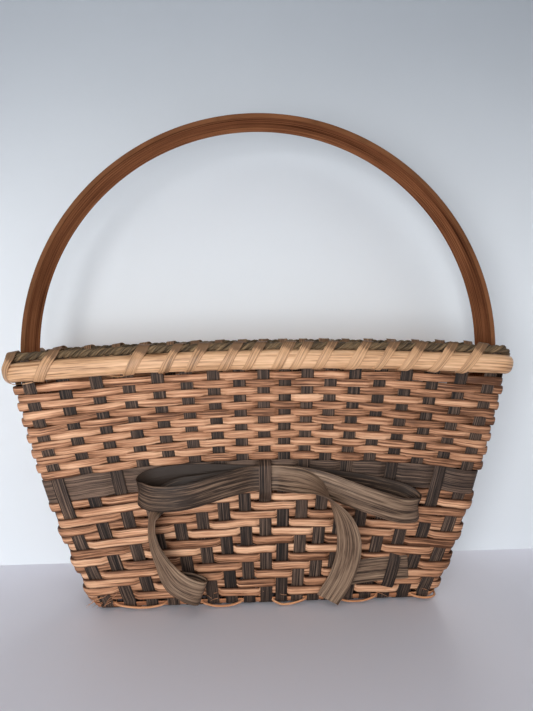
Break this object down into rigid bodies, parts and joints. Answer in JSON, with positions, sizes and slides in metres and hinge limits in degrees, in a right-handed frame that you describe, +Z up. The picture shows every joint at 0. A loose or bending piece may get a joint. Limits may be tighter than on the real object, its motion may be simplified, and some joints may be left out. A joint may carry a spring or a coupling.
{
  "type": "door hanging basket",
  "caption": "Shallow flat-backed basket woven from natural and dyed reed, with a laced rim, a tall hoop handle to hang it on a door and a reed bow on the front.",
  "frame": {"origin": "on the floor plane, under the middle of the whole basket's box", "axes": "+Z up, front with the bow towards -Y, flat back towards +Y, +X to the right seen from the front"},
  "size_m": [0.4016, 0.1158, 0.3901],
  "materials": {
    "natural_reed": "satin",
    "dyed_reed": "satin",
    "bow_reed": "satin",
    "rim_reed": "satin",
    "seagrass": "matte",
    "oak": "satin"
  },
  "bodies": {
    "root": {"cross_stake_01": "dyed_reed", "cross_stake_02": "dyed_reed", "cross_stake_03": "dyed_reed", "cross_stake_04": "dyed_reed", "cross_stake_05": "dyed_reed", "cross_stake_06": "dyed_reed", "cross_stake_07": "dyed_reed", "cross_stake_08": "dyed_reed", "cross_stake_09": "dyed_reed", "cross_stake_10": "dyed_reed", "cross_stake_11": "dyed_reed", "cross_stake_12": "dyed_reed", "cross_stake_13": "dyed_reed", "cross_stake_14": "dyed_reed", "cross_stake_15": "dyed_reed", "cross_stake_16": "dyed_reed", "cross_stake_17": "dyed_reed", "cross_stake_18": "dyed_reed", "long_stake_01": "dyed_reed", "long_stake_02": "dyed_reed", "long_stake_03": "dyed_reed", "long_stake_04": "dyed_reed", "dark_band": "dyed_reed", "twill_row_01": "natural_reed", "twill_row_02": "natural_reed", "twill_row_03": "natural_reed", "twill_row_04": "natural_reed", "twill_row_05": "natural_reed", "twill_row_06": "natural_reed", "twill_row_07": "natural_reed", "twill_row_08": "natural_reed", "twill_row_09": "natural_reed", "twill_row_10": "natural_reed", "twill_row_11": "natural_reed", "twill_row_12": "natural_reed", "twill_row_13": "natural_reed", "plain_row_01": "natural_reed", "plain_row_02": "natural_reed", "plain_row_03": "natural_reed", "plain_row_04": "natural_reed", "plain_row_05": "natural_reed", "plain_row_06": "natural_reed", "plain_row_07": "natural_reed", "plain_row_08": "natural_reed", "plain_row_09": "natural_reed", "plain_row_10": "natural_reed", "plain_row_11": "natural_reed", "plain_row_12": "natural_reed", "base_twining": "natural_reed", "rim_outer_band": "rim_reed", "rim_inner_band": "rim_reed", "rim_lacing": "rim_reed", "rim_seagrass": "seagrass", "hoop_handle": "oak", "bow_loop_left": "bow_reed", "bow_loop_right": "bow_reed", "bow_tails": "bow_reed"}
  },
  "joints": []
}
